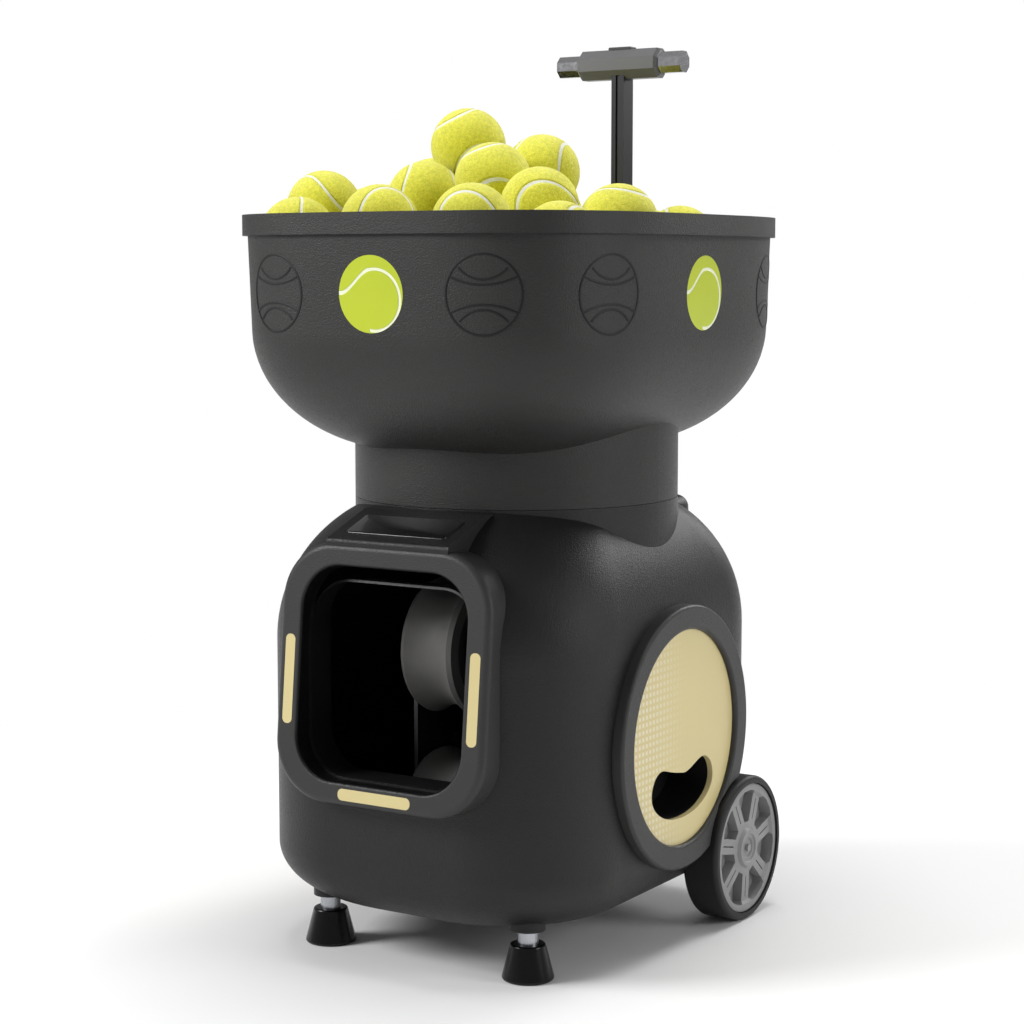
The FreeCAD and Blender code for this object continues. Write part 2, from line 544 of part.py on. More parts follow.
# ---- throwing head -----------------------------------------------------------------------------
def build_head():
    floor = BODY_BOTTOM + WALL
    bearing_top = floor + BEARING_TALL
    spigot_r = 10.0
    disc_low = bearing_top + GAP
    disc_high = disc_low + TURNTABLE_THICK
    pieces["yaw_bearing"] = ring((0, YAW_Y, floor), (0, YAW_Y, bearing_top), BEARING_R, spigot_r + FIT)
    turntable = rod((0, YAW_Y, disc_low), (0, YAW_Y, disc_high), TURNTABLE_R)
    turntable = turntable.fuse(rod((0, YAW_Y, floor + 1), (0, YAW_Y, disc_low), spigot_r))
    pieces["turntable"] = turntable.removeSplitter()
    yaw_y = YAW_Y + TURNTABLE_R + 22
    gearmotor = rod((0, yaw_y, floor), (0, yaw_y, floor + 48), 17)
    pieces["yaw_gearmotor"] = one(gearmotor.cut(pieces["base_pan"]))

    crest = NIP / 2 + WHEEL_R
    heights = {"upper": PIVOT_Z + crest, "lower": PIVOT_Z - crest}
    plate_out = PLATE_X + PLATE_THICK
    yoke_top = PIVOT_Z + YOKE_WIDE / 2
    upright = box(YOKE_X, YOKE_X + 5, YAW_Y - YOKE_WIDE / 2, YAW_Y + YOKE_WIDE / 2, disc_high, PIVOT_Z)
    cap = rod((YOKE_X, YAW_Y, PIVOT_Z), (YOKE_X + 5, YAW_Y, PIVOT_Z), YOKE_WIDE / 2)
    upright = upright.fuse(cap).cut(rod((0, YAW_Y, PIVOT_Z), (90, YAW_Y, PIVOT_Z), PIN_R)).removeSplitter()
    trim = rod((0, YAW_Y, 0), (0, YAW_Y, yoke_top + 9), TURNTABLE_R)
    upright = one(upright.common(trim))
    pin = rod((PLATE_X + 0.5, YAW_Y, PIVOT_Z), (YOKE_X + 5, YAW_Y, PIVOT_Z), PIN_R)
    pin = pin.fuse(rod((YOKE_X + 5, YAW_Y, PIVOT_Z), (YOKE_X + 8, YAW_Y, PIVOT_Z), PIN_R + 3)).removeSplitter()
    pieces["yoke_uprights"] = both_sides(upright)
    pieces["tilt_pins"] = both_sides(pin)

    # Side plates, each with the motor of one wheel
    front, back = WHEEL_Y - 15, YAW_Y + 20
    outline = [(PLATE_X, front, heights["upper"] + 14), (PLATE_X, front, heights["lower"] - 14),
               (PLATE_X, front + 32, heights["lower"] - 26), (PLATE_X, YAW_Y - 30, PIVOT_Z - 36),
               (PLATE_X, back, PIVOT_Z - 20), (PLATE_X, back, PIVOT_Z + 30),
               (PLATE_X, YAW_Y - 30, PIVOT_Z + 52), (PLATE_X, front + 32, heights["upper"] + 26)]
    plate = prism(outline, (PLATE_THICK, 0, 0))
    plate = plate.makeFillet(9, [e for e in plate.Edges if abs(e.BoundBox.XLength - PLATE_THICK) < 0.01])
    plate = plate.cut(rod((0, YAW_Y, PIVOT_Z), (90, YAW_Y, PIVOT_Z), PIN_R + FIT))
    for height in heights.values():
        plate = plate.cut(rod((0, WHEEL_Y, height), (90, WHEEL_Y, height), SHAFT_R + FIT))
    pieces["head_plate_right"] = one(plate)
    pieces["head_plate_left"] = mirrored(one(plate))
    for name, side in (("upper", 1), ("lower", -1)):
        z = heights[name]
        motor = rod((side * plate_out, WHEEL_Y, z), (side * (plate_out + MOTOR_LONG), WHEEL_Y, z), MOTOR_R)
        bore = rod((side * plate_out, WHEEL_Y, z), (side * (plate_out + 25), WHEEL_Y, z), SHAFT_R + FIT)
        pieces["throw_motor_" + name] = motor.cut(bore)
        pieces["throw_shaft_" + name] = rod((-side * (plate_out - 0.5), WHEEL_Y, z),
                                            (side * (plate_out + 24), WHEEL_Y, z), SHAFT_R)
        build_throw_wheel(name, z)

    # Chute from under the drop tube to the nip, which also ties the side plates
    low_y, low_z, high_y = WHEEL_Y + 45, PIVOT_Z - 27, back - 4
    high_z = low_z + (high_y - low_y) * 0.27
    tray = prism([(-PLATE_X, low_y, low_z), (-PLATE_X, high_y, high_z), (-PLATE_X, high_y, high_z + 3.5),
                  (-PLATE_X, low_y, low_z + 3.5)], (2 * PLATE_X, 0, 0))
    for side in (1, -1):
        rail_x = (PLATE_X - 4) * side
        rail = prism([(rail_x, low_y, low_z + 3.5), (rail_x, high_y, high_z + 3.5),
                      (rail_x, high_y, high_z + 18), (rail_x, low_y, low_z + 14)], (4 * side, 0, 0))
        tray = tray.fuse(rail)
    pieces["ball_chute"] = one(tray)


def build_throw_wheel(name, z):
    """A hub with a dished rubber tread."""
    half, core = WHEEL_WIDE / 2, WHEEL_R - 14
    hub = rod((-half, WHEEL_Y, z), (half, WHEEL_Y, z), core)
    for side in (1, -1):
        recess = ring((side * half, WHEEL_Y, z), (side * (half - 12), WHEEL_Y, z), core - 8, 14)
        hub = hub.cut(recess)
    pieces["throw_hub_" + name] = one(hub.cut(rod((-half - 1, WHEEL_Y, z), (half + 1, WHEEL_Y, z), SHAFT_R)))
    flat = half - 4
    start, end = V(-flat, WHEEL_Y, z + WHEEL_R), V(flat, WHEEL_Y, z + WHEEL_R)
    dish = Part.Arc(start, V(0, WHEEL_Y, z + WHEEL_R - DISH), end).toShape()
    corners = [end, V(half, WHEEL_Y, z + WHEEL_R - 2), V(half, WHEEL_Y, z + core), V(-half, WHEEL_Y, z + core),
               V(-half, WHEEL_Y, z + WHEEL_R - 2), start]
    outline = [dish] + [Part.makeLine(a, b) for a, b in zip(corners, corners[1:])]
    face = Part.Face(Part.Wire(outline))
    pieces["throw_tread_" + name] = face.revolve(V(0, WHEEL_Y, z), V(1, 0, 0), 360)


# ---- electrics ---------------------------------------------------------------------------------
SWITCH_X, SWITCH_Z = -62.0, 130.0
SWITCH_HALF_X, SWITCH_HALF_Z = 13.0, 9.0
SOCKET_X, SOCKET_R = 62.0, 9.0


def switch_box(inset):
    return box(SWITCH_X - SWITCH_HALF_X + inset, SWITCH_X + SWITCH_HALF_X - inset, BODY_REAR - 14,
               BODY_REAR + 2, SWITCH_Z - SWITCH_HALF_Z + inset, SWITCH_Z + SWITCH_HALF_Z - inset)


def socket_hole():
    return rod((SOCKET_X, BODY_REAR - 20, SWITCH_Z), (SOCKET_X, BODY_REAR + 5, SWITCH_Z), SOCKET_R)


def build_electrics():
    floor = BODY_BOTTOM + WALL
    frame = switch_box(0)
    well = box(SWITCH_X - SWITCH_HALF_X + 2, SWITCH_X + SWITCH_HALF_X - 2, BODY_REAR - 12, BODY_REAR + 3,
               SWITCH_Z - SWITCH_HALF_Z + 2, SWITCH_Z + SWITCH_HALF_Z - 2)
    pieces["switch_frame"] = one(frame.cut(well))
    x0, x1 = SWITCH_X - SWITCH_HALF_X + 2 + GAP, SWITCH_X + SWITCH_HALF_X - 2 - GAP
    z0, z1 = SWITCH_Z - SWITCH_HALF_Z + 2 + 1.2, SWITCH_Z + SWITCH_HALF_Z - 2 - 1.2
    rocker = prism([(x0, BODY_REAR - 8, SWITCH_Z - 3), (x0, BODY_REAR - 8, SWITCH_Z + 3),
                    (x0, BODY_REAR, z1), (x0, BODY_REAR + 2.6, z1), (x0, BODY_REAR + 1.6, SWITCH_Z),
                    (x0, BODY_REAR + 2.6, z0), (x0, BODY_REAR, z0)], (x1 - x0, 0, 0))
    pieces["switch_rocker"] = rocker
    body = ring((SOCKET_X, BODY_REAR - 18, SWITCH_Z), (SOCKET_X, BODY_REAR + 3, SWITCH_Z), SOCKET_R, 5)
    back = rod((SOCKET_X, BODY_REAR - 18, SWITCH_Z), (SOCKET_X, BODY_REAR - 15, SWITCH_Z), SOCKET_R)
    flange = ring((SOCKET_X, BODY_REAR, SWITCH_Z), (SOCKET_X, BODY_REAR + 3, SWITCH_Z), SOCKET_R + 4, 5)
    centre_pin = rod((SOCKET_X, BODY_REAR - 15, SWITCH_Z), (SOCKET_X, BODY_REAR - 4, SWITCH_Z), 1.2)
    pieces["charge_socket"] = body.fuse(back).fuse(flange).fuse(centre_pin).removeSplitter()

    battery = box(-121, -79, 6, 92, floor, floor + 66)
    pieces["battery_pack"] = battery.makeFillet(4, battery.Edges)
    tray = box(-123, -77, 4, 94, floor, floor + 9).cut(battery_pocket(floor))
    pieces["battery_tray"] = tray.cut(pieces["base_pan"])
    board = box(92, 94, -10, 84, floor, floor + 76)
    parts = [box(94, 101, y, y + 14, floor + 20 + lift, floor + 40 + lift)
             for y, lift in ((-2, 0), (22, 14), (46, 4))]
    for block in parts:
        board = board.fuse(block)
    pieces["control_board"] = board.removeSplitter()


def battery_pocket(floor):
    return box(-121, -79, 6, 92, floor, floor + 20)


# ---- trolley, feet and mast --------------------------------------------------------------------
def build_trolley():
    floor = BODY_BOTTOM + WALL
    z, y, inner = TROLLEY_R, TROLLEY_Y, TROLLEY_OUT - TROLLEY_WIDE
    middle = (inner + TROLLEY_OUT) / 2
    rim = TROLLEY_R - TYRE_THICK
    tyre = ring((inner, y, z), (TROLLEY_OUT, y, z), TROLLEY_R, rim)
    tyre = tyre.makeFillet(4, [e for e in tyre.Edges if e.BoundBox.ZLength > 2 * TROLLEY_R - 1])
    hub = rod((inner + 3, y, z), (TROLLEY_OUT - 2, y, z), rim)
    pocket_points = [(TROLLEY_OUT - 12, y - 6, z + 22), (TROLLEY_OUT - 12, y + 6, z + 22),
                     (TROLLEY_OUT - 12, y + 15, z + 50), (TROLLEY_OUT - 12, y - 15, z + 50)]
    pocket = prism(pocket_points, (30, 0, 0))
    pocket = pocket.makeFillet(3, [e for e in pocket.Edges if e.BoundBox.XLength > 29])
    for i in range(SPOKES):
        turned = pocket.copy()
        turned.rotate(V(0, y, z), V(1, 0, 0), 360 * i / SPOKES)
        hub = hub.cut(turned)
    hub = hub.fuse(rod((TROLLEY_OUT - 2, y, z), (TROLLEY_OUT, y, z), 16)).removeSplitter()
    hub = one(hub.cut(rod((0, y, z), (TROLLEY_OUT - 3, y, z), AXLE_R + FIT)))
    axle = rod((95, y, z), (TROLLEY_OUT - 3 - GAP, y, z), AXLE_R)
    block = box(100, 116, y - 12, y + 12, floor, z + 12)
    block = block.cut(rod((90, y, z), (120, y, z), AXLE_R)).cut(pieces["base_pan"])
    for name, shape in (("tyre", tyre), ("trolley_hub", hub), ("axle", axle)):
        pieces[name + "_right"] = shape
        pieces[name + "_left"] = mirrored(shape)
    pieces["axle_blocks"] = both_sides(one(block))

    sockets = []
    for name, x in (("left", -FOOT_X), ("right", FOOT_X)):
        sockets.append(ring((x, FOOT_Y, BODY_BOTTOM + 1), (x, FOOT_Y, BODY_BOTTOM + 52), FOOT_SOCKET_R,
                            FOOT_ROD_R + FIT))
        pieces["foot_rod_" + name] = rod((x, FOOT_Y, 8), (x, FOOT_Y, BODY_BOTTOM + 46), FOOT_ROD_R)
        foot = Part.makeCone(FOOT_BASE_R, FOOT_TOP_R, FOOT_TALL, V(x, FOOT_Y, 0))
        foot = foot.makeFillet(2, [e for e in foot.Edges if e.BoundBox.ZLength < 0.1])
        pieces["rubber_foot_" + name] = foot.cut(rod((x, FOOT_Y, 8), (x, FOOT_Y, 60), FOOT_ROD_R))
    pieces["foot_sockets"] = Part.makeCompound(sockets)


def octagon_bar(length, size, centre):
    x, y, z = centre
    corners = []
    for i in range(8):
        turn = math.radians(22.5 + 45 * i)
        r = size / 2 / math.cos(math.radians(22.5))
        corners.append((x - length / 2, y + r * math.cos(turn), z + r * math.sin(turn)))
    return prism(corners, (length, 0, 0))


def build_mast():
    half_x, half_y = MAST_TUBE_X / 2, MAST_TUBE_Y / 2
    tube = box(-half_x, half_x, MAST_Y - half_y, MAST_Y + half_y, MAST_TUBE_LOW, MAST_TUBE_HIGH)
    tube = tube.makeFillet(2, [e for e in tube.Edges if e.BoundBox.ZLength > 100])
    hx, hy = half_x - MAST_WALL, half_y - MAST_WALL
    tube = tube.cut(box(-hx, hx, MAST_Y - hy, MAST_Y + hy, MAST_TUBE_LOW + 3, MAST_TUBE_HIGH + 1))
    pieces["mast_outer_tube"] = tube
    hx, hy = hx - 0.3, hy - 0.3
    pole = box(-hx, hx, MAST_Y - hy, MAST_Y + hy, POLE_LOW, GRIP_Z - GRIP_BAR / 2)
    pole = pole.cut(box(-2, 2, MAST_Y - hy - 1, MAST_Y - hy + 1.5, POLE_LOW - 1, GRIP_Z))
    pieces["mast_pole"] = one(pole)

    centre = (0, MAST_Y, GRIP_Z)
    bar = octagon_bar(GRIP_LONG, GRIP_BAR, centre)
    sleeve = octagon_bar(SLEEVE_LONG, SLEEVE_TALL, centre)
    ends = [e for e in sleeve.Edges if e.BoundBox.XLength < 0.01]
    sleeve = sleeve.makeChamfer(2.5, ends).cut(bar)
    sleeve = sleeve.cut(box(-hx - 0.01, hx + 0.01, MAST_Y - hy - 0.01, MAST_Y + hy + 0.01, GRIP_Z - 30, GRIP_Z))
    top = GRIP_Z + SLEEVE_TALL / 2
    deep = (SLEEVE_TALL - GRIP_BAR) / 2
    half_long, half_wide = BUTTON_LONG / 2, BUTTON_WIDE / 2
    well = box(-half_long - GAP, half_long + GAP, MAST_Y - half_wide - GAP, MAST_Y + half_wide + GAP,
               top - deep, top + 1)
    pieces["grip_sleeve"] = one(sleeve.cut(well))
    pieces["grip_bar"] = bar
    button = box(-half_long, half_long, MAST_Y - half_wide, MAST_Y + half_wide, top - deep + 2.6, top + 2.6)
    pieces["release_button"] = button.makeFillet(1.2, [e for e in button.Edges if e.BoundBox.ZMin > top])


def build_screws():
    """Countersunk screws up through the base pan."""
    screws = []
    for x in (-75, 75):
        for y in (-120, 0, 150):
            head = Part.makeCone(4, 2, 3, V(x, y, BODY_BOTTOM))
            screws.append(head.fuse(rod((x, y, BODY_BOTTOM + 3), (x, y, BODY_BOTTOM + 14), 2)).removeSplitter())
    pieces["pan_screws"] = Part.makeCompound(screws)
    for screw in screws:
        pieces["base_pan"] = pieces["base_pan"].cut(screw)


def main():
    os.makedirs("parts", exist_ok=True)
    outside = build_body()
    build_front(outside)
    build_sides(outside)
    funnel = build_hopper()
    build_balls(funnel)
    build_feeder()
    build_head()
    build_electrics()
    build_trolley()
    build_mast()
    build_screws()
    for name, shape in pieces.items():
        shape.exportStep(f"parts/{name}.step")
        print(name, "solids", len(shape.Solids), "valid", shape.isValid(), "volume", round(shape.Volume))
    print(len(pieces), "pieces")


main()
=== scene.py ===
# %% [markdown]
# # A tennis ball machine
# The imported CAD model is the frame: every piece below is placed from it. This first cell loads it.
# The finished look has to stay inside the same size.

# %% Load the frame
import math
import random

import bmesh
import bpy
from mathutils import Matrix, Vector


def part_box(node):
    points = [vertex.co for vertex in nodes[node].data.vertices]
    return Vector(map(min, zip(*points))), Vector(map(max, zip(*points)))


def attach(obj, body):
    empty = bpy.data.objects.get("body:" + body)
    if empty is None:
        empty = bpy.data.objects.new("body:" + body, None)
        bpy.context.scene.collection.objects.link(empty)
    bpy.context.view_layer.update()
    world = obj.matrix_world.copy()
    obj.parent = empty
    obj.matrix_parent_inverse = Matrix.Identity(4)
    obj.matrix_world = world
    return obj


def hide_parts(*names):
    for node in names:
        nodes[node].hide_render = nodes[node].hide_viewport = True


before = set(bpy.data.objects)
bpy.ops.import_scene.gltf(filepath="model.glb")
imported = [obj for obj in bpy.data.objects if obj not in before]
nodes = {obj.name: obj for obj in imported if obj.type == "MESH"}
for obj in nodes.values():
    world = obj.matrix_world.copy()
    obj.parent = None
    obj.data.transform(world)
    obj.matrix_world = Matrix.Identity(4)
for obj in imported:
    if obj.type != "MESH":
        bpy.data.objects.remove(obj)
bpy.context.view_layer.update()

# %% [markdown]
# ## Shader maths as Python
# A material is a small network of nodes. Wiring one by hand is long, so one class wraps an output
# socket and gives it the usual operators: an expression such as `1 - mask * 0.3` adds the Math nodes.

# %% A socket with operators
class Value:
    def __init__(self, paint, socket):
        self.paint, self.socket = paint, socket

    def maths(self, operation, *others):
        node = self.paint.tree.nodes.new("ShaderNodeMath")
        node.operation = operation
        for slot, item in zip(node.inputs, (self, *others)):
            self.paint.feed(slot, item)
        return Value(self.paint, node.outputs[0])

    def __add__(self, other):
        return self.maths("ADD", other)

    def __sub__(self, other):
        return self.maths("SUBTRACT", other)

    def __rsub__(self, other):
        return (self * -1) + other

    def __mul__(self, other):
        return self.maths("MULTIPLY", other)

    def __pow__(self, other):
        return self.maths("POWER", other)

    __radd__, __rmul__ = __add__, __mul__

    def abs(self):
        return self.maths("ABSOLUTE")

    def ramp(self, low, high):
        """0 below low, 1 above high, smooth between."""
        return self.paint.node("ShaderNodeMapRange", {"interpolation_type": "SMOOTHSTEP"},
                               {"Value": self, "From Min": low, "From Max": high})[0]


# %% A material with one method for every node
class Paint:
    def __init__(self, name, **fixed):
        self.material = bpy.data.materials.new(name)
        self.material.use_nodes = True
        self.tree = self.material.node_tree
        self.shader = self.tree.nodes["Principled BSDF"]
        for socket, value in fixed.items():
            self.shader.inputs[socket.replace("_", " ")].default_value = value

    def feed(self, slot, item):
        if isinstance(item, Value):
            self.tree.links.new(item.socket, slot)
        else:
            slot.default_value = item

    def node(self, kind, settings=None, inputs=None):
        made = self.tree.nodes.new(kind)
        for key, value in (settings or {}).items():
            setattr(made, key, value)
        for key, value in (inputs or {}).items():
            self.feed(made.inputs[key], value)
        return [Value(self, out) for out in made.outputs]

    def place(self):
        return self.node("ShaderNodeTexCoord")[3]

    def noise(self, scale, detail=3.0, rough=0.5, at=None):
        return self.node("ShaderNodeTexNoise", {}, {"Vector": at or self.place(), "Scale": scale,
                                                    "Detail": detail, "Roughness": rough})[0]

    def cells(self, scale, at=None, feature="F1"):
        return self.node("ShaderNodeTexVoronoi", {"feature": feature},
                         {"Vector": at or self.place(), "Scale": scale})[0]

    def mix(self, factor, one, two):
        made = self.tree.nodes.new("ShaderNodeMix")
        made.data_type = "RGBA"
        self.feed(made.inputs[0], factor)
        self.feed(made.inputs[6], one)
        self.feed(made.inputs[7], two)
        return Value(self, made.outputs[2])

    def shade(self, **links):
        for socket, item in links.items():
            self.feed(self.shader.inputs[socket.replace("_", " ")], item)
        return self

    def bump(self, height, distance, strength=1.0):
        made = self.node("ShaderNodeBump", {}, {"Height": height, "Distance": distance, "Strength": strength})
        return self.shade(Normal=made[0])


def rgb(red, green, blue):
    return (red, green, blue, 1.0)


# %% [markdown]
# ## Moulded plastic
# The casings are injection moulded with an etched grain: small rounded cells about a millimetre across,
# with a faint soft mottle over them. Cells from a Voronoi texture and a fine noise make the bump, and
# the same cells move the roughness a little, which breaks up the highlights as on the real skin.

# %% Moulded plastic
def moulded(name, colour, grain=800.0, depth=0.00035, rough=0.5, mottle=0.12):
    paint = Paint(name, Specular_IOR_Level=0.32)
    cell, fine, broad = paint.cells(grain, None, "SMOOTH_F1"), paint.noise(grain * 1.7, 3.0, 0.6), paint.noise(9.0, 2.0)
    height = cell * 0.8 + fine * 0.7
    darker = rgb(*[c * (1 - mottle) for c in colour])
    lighter = rgb(*[min(1.0, c * (1 + mottle)) for c in colour])
    paint.shade(Base_Color=paint.mix(broad, darker, lighter), Roughness=rough + (cell - 0.4) * 0.25)
    return paint.bump(height, depth).material


# The pan, body, fairing and pod get the hopper's plastic at about half its brightness: painted shade, so they read
# darker than the lit hopper.
shaded_casing = moulded("casing_plastic_painted_shade", (0.0115, 0.0113, 0.0111), rough=0.40)
hopper_skin = moulded("hopper_moulded_plastic", (0.024, 0.023, 0.022), rough=0.42)
ring_skin = moulded("ring_moulded_plastic", (0.034, 0.0335, 0.033), 900.0, 0.0002, 0.42)
# Near-black lines: painted shade of the hopper's engraved grooves, which are not cut.
groove_shade_black = moulded("painted_groove_shade", (0.004, 0.004, 0.004), 1600.0, 0.00002, 0.5)
dark_moulding = moulded("dark_inner_moulding", (0.007, 0.007, 0.0075), 1300.0, 0.00006, 0.42)



def bezel_paint(half_x=0.084, low=0.167, high=0.350, corner=0.038):
    """Grey moulding whose inner wall, found by its distance from a rounded outline, is near-black with the same
    roughness.
    """
    paint = Paint("bezel_moulded_plastic", Specular_IOR_Level=0.3)
    x, y, z = paint.node("ShaderNodeSeparateXYZ", {}, {"Vector": paint.place()})[:3]
    side = (x.abs() - (half_x - corner)).maths("MAXIMUM", 0.0)
    end = ((z - (low + high) / 2).abs() - ((high - low) / 2 - corner)).maths("MAXIMUM", 0.0)
    inside = 1 - ((side * side + end * end).maths("SQRT") - corner).ramp(0.0010, 0.0018)
    cell, fine = paint.cells(900.0, None, "SMOOTH_F1"), paint.noise(1500.0, 3.0)
    grey = paint.mix(fine, rgb(0.027, 0.0267, 0.0264), rgb(0.038, 0.0376, 0.037))
    paint.shade(Base_Color=paint.mix(inside, grey, rgb(0.004, 0.004, 0.0045)), Roughness=0.42 + (cell - 0.4) * 0.2)
    return paint.bump(cell * 0.8 + fine * 0.7, 0.0002).material


bezel_skin = bezel_paint()
feeder_moulding = moulded("feeder_moulding", (0.10, 0.10, 0.105), 1100.0, 0.00008, 0.55)
hub_grey = moulded("grey_wheel_moulding", (0.27, 0.27, 0.27), 1600.0, 0.00004, 0.42, 0.05)
nylon = moulded("black_nylon", (0.035, 0.035, 0.036), 1200.0, 0.00007, 0.5)
print("moulded plastics made")

# %% [markdown]
# ## Cream plastic with a dot print
# The side discs and the bezel's strips are smooth cream plastic. On the discs a print of small pale squares
# fades out from the front edge to the middle, so its strength is a ramp along Y.

# %% Cream plastic
def cream_plastic(name, dots):
    paint = Paint(name, Specular_IOR_Level=0.4, Coat_Weight=0.15)
    base = paint.mix(paint.noise(6.0), rgb(0.62, 0.52, 0.25), rgb(0.69, 0.59, 0.29))
    if dots:
        parts = paint.node("ShaderNodeSeparateXYZ", {}, {"Vector": paint.place()})
        pitch = 2 * math.pi / 0.0062
        across = (parts[1] * pitch).maths("SINE")
        upward = (parts[2] * pitch).maths("SINE")
        square = across.ramp(-0.35, 0.05) * upward.ramp(-0.35, 0.05)
        fade = 1 - parts[1].ramp(-0.075, 0.012)
        base = paint.mix(square * fade * 0.85, base, rgb(0.76, 0.70, 0.52))
    paint.shade(Base_Color=base, Roughness=0.34 + paint.noise(40.0) * 0.08)
    return paint.bump(paint.noise(1500.0), 0.00002).material


cream = cream_plastic("cream_plastic", False)
cream_dots = cream_plastic("cream_plastic_with_dots", True)

# %% [markdown]
# ## Gloss, metal and rubber
# Polished plastic keeps a low roughness with faint smears. Drawn and plated metal has streaks along one
# axis, made by stretching the noise. Rubber is nearly black, with a dull bloom.

# %% Gloss, metal and rubber
def gloss(name, colour, rough=0.12, coat=0.5):
    paint = Paint(name, Coat_Weight=coat, Coat_Roughness=0.05)
    tint = paint.mix(paint.noise(14.0), rgb(*[c * 0.85 for c in colour]), rgb(*[c * 1.15 for c in colour]))
    paint.shade(Base_Color=tint, Roughness=rough + paint.noise(60.0) * 0.08)
    return paint.bump(paint.noise(700.0), 0.00001).material


def metal(name, colour, rough, streak=(1.0, 1.0, 0.05), scale=900.0):
    paint = Paint(name)
    at = paint.node("ShaderNodeMapping", {}, {"Vector": paint.place(), "Scale": streak})[0]
    lines = paint.noise(scale, 3.0, 0.6, at)
    tint = paint.mix(lines, rgb(*[c * 0.88 for c in colour]), rgb(*[min(1, c * 1.1) for c in colour]))
    paint.shader.inputs["Metallic"].default_value = 1.0
    paint.shade(Base_Color=tint, Roughness=rough + lines * 0.14)
    return paint.bump(lines, 0.00001).material


def rubber(name, colour, rough=0.55, grain=700.0, depth=0.00005):
    paint = Paint(name, Specular_IOR_Level=0.35)
    bloom = paint.noise(30.0, 4.0)
    tint = paint.mix(bloom, rgb(*[c * 0.8 for c in colour]), rgb(*[c * 1.3 for c in colour]))
    paint.shade(Base_Color=tint, Roughness=rough + bloom * 0.15)
    return paint.bump(paint.noise(grain), depth).material


panel_gloss = gloss("polished_black_panel", (0.008, 0.008, 0.008))
battery_wrap = gloss("battery_wrap", (0.03, 0.05, 0.12), 0.25)
board_green = gloss("circuit_board", (0.01, 0.10, 0.035), 0.35)
chrome = metal("polished_chrome", (0.72, 0.72, 0.74), 0.06, (1, 1, 1), 300.0)
steel = metal("drawn_steel", (0.42, 0.43, 0.46), 0.22)
zinc = metal("zinc_plate", (0.33, 0.34, 0.36), 0.35)
motor_black = metal("black_motor_can", (0.06, 0.06, 0.065), 0.38)
anodised = metal("black_anodised_mast", (0.035, 0.035, 0.037), 0.32)
sleeve_skin = gloss("satin_grip_sleeve", (0.10, 0.10, 0.104), 0.32, 0.1)
tyre_rubber = rubber("tyre_rubber", (0.010, 0.010, 0.010), 0.45)
tread_rubber = rubber("grey_tread_rubber", (0.12, 0.118, 0.114), 0.5, 1200.0, 0.00012)
foot_rubber = rubber("foot_rubber", (0.002, 0.002, 0.0025), 0.14)

# %% [markdown]
# ## Green emblem discs
# The inlaid discs carry a white line like the seam of a ball. The discs face two ways, so the line is drawn
# in whichever level coordinate runs across the disc, with the height as its other axis.

# %% Green emblem discs
def emblem_paint():
    paint = Paint("emblem_green_plastic", Coat_Weight=0.25, Coat_Roughness=0.1)
    x, y, z = paint.node("ShaderNodeSeparateXYZ", {}, {"Vector": paint.place()})[:3]
    sideways = (x.abs() * 1.0).ramp(0.10, 0.11)
    across = (x + sideways * (y - x)) * (1 / 0.032)
    upward = (z - 0.579) * (1 / 0.032)
    loop_x, loop_z = across - 0.12, upward + 0.15
    loop = ((loop_x * loop_x + loop_z * loop_z).maths("SQRT") - 0.79).abs()
    tail = (upward - across.ramp(-0.95, 0.0) * 0.6 - 0.03).abs() * 0.8
    right = across.ramp(-0.06, -0.04)
    line = 1 - (tail + right * (loop - tail)).ramp(0.025, 0.05)
    green = paint.mix(paint.noise(20.0), rgb(0.44, 0.53, 0.008), rgb(0.52, 0.61, 0.013))
    paint.shade(Base_Color=paint.mix(line, green, rgb(0.82, 0.86, 0.62)), Roughness=0.34 + line * 0.1)
    return paint.bump(line * -1.0, 0.0004).material


emblem_green = emblem_paint()

# %% [markdown]
# ## Felt
# A tennis ball is a rubber core under a brushed felt of wool and nylon, cut as two dog-bone panels that
# meet in one curved rubber seam. Each ball carries its own unit vector as an attribute, so the seam's
# curve can be written as an equation on the sphere, and fibres are short warped noise in colour and bump.

# %% Felt
def felt_material():
    paint = Paint("tennis_ball_felt", Sheen_Weight=0.35, Sheen_Roughness=0.6, Specular_IOR_Level=0.15)
    local = paint.node("ShaderNodeAttribute", {"attribute_name": "ball"})[1]
    x, y, z = paint.node("ShaderNodeSeparateXYZ", {}, {"Vector": local})[:3]
    curve = (x * y * 2 - z * z * z * 0.385).abs()
    seam = 1 - curve.ramp(0.045, 0.075)
    groove = 1 - curve.ramp(0.05, 0.16)
    swirl = paint.noise(5.0, 2.0, 0.5, local)
    fibre = paint.noise(26.0, 5.0, 0.72, local)
    tuft = paint.noise(11.0, 3.0, 0.6, local)
    shade = (fibre * 0.65 + tuft * 0.35).ramp(0.34, 0.66)
    felt = paint.mix(shade, rgb(0.54, 0.54, 0.022), rgb(0.88, 0.83, 0.060))
    felt = paint.mix(swirl * 0.35, felt, rgb(0.74, 0.74, 0.040))
    paint.shade(Base_Color=paint.mix(seam, felt, rgb(0.78, 0.80, 0.72)), Roughness=0.92 - seam * 0.3)
    return paint.bump(fibre * 0.9 + tuft * 0.8 - groove * 1.3, 0.0011, 0.9).material


felt = felt_material()
print("materials:", len(bpy.data.materials))

# %% [markdown]
# ## Finishes for the CAD pieces
# Most pieces have the right shape already and only need their finish.

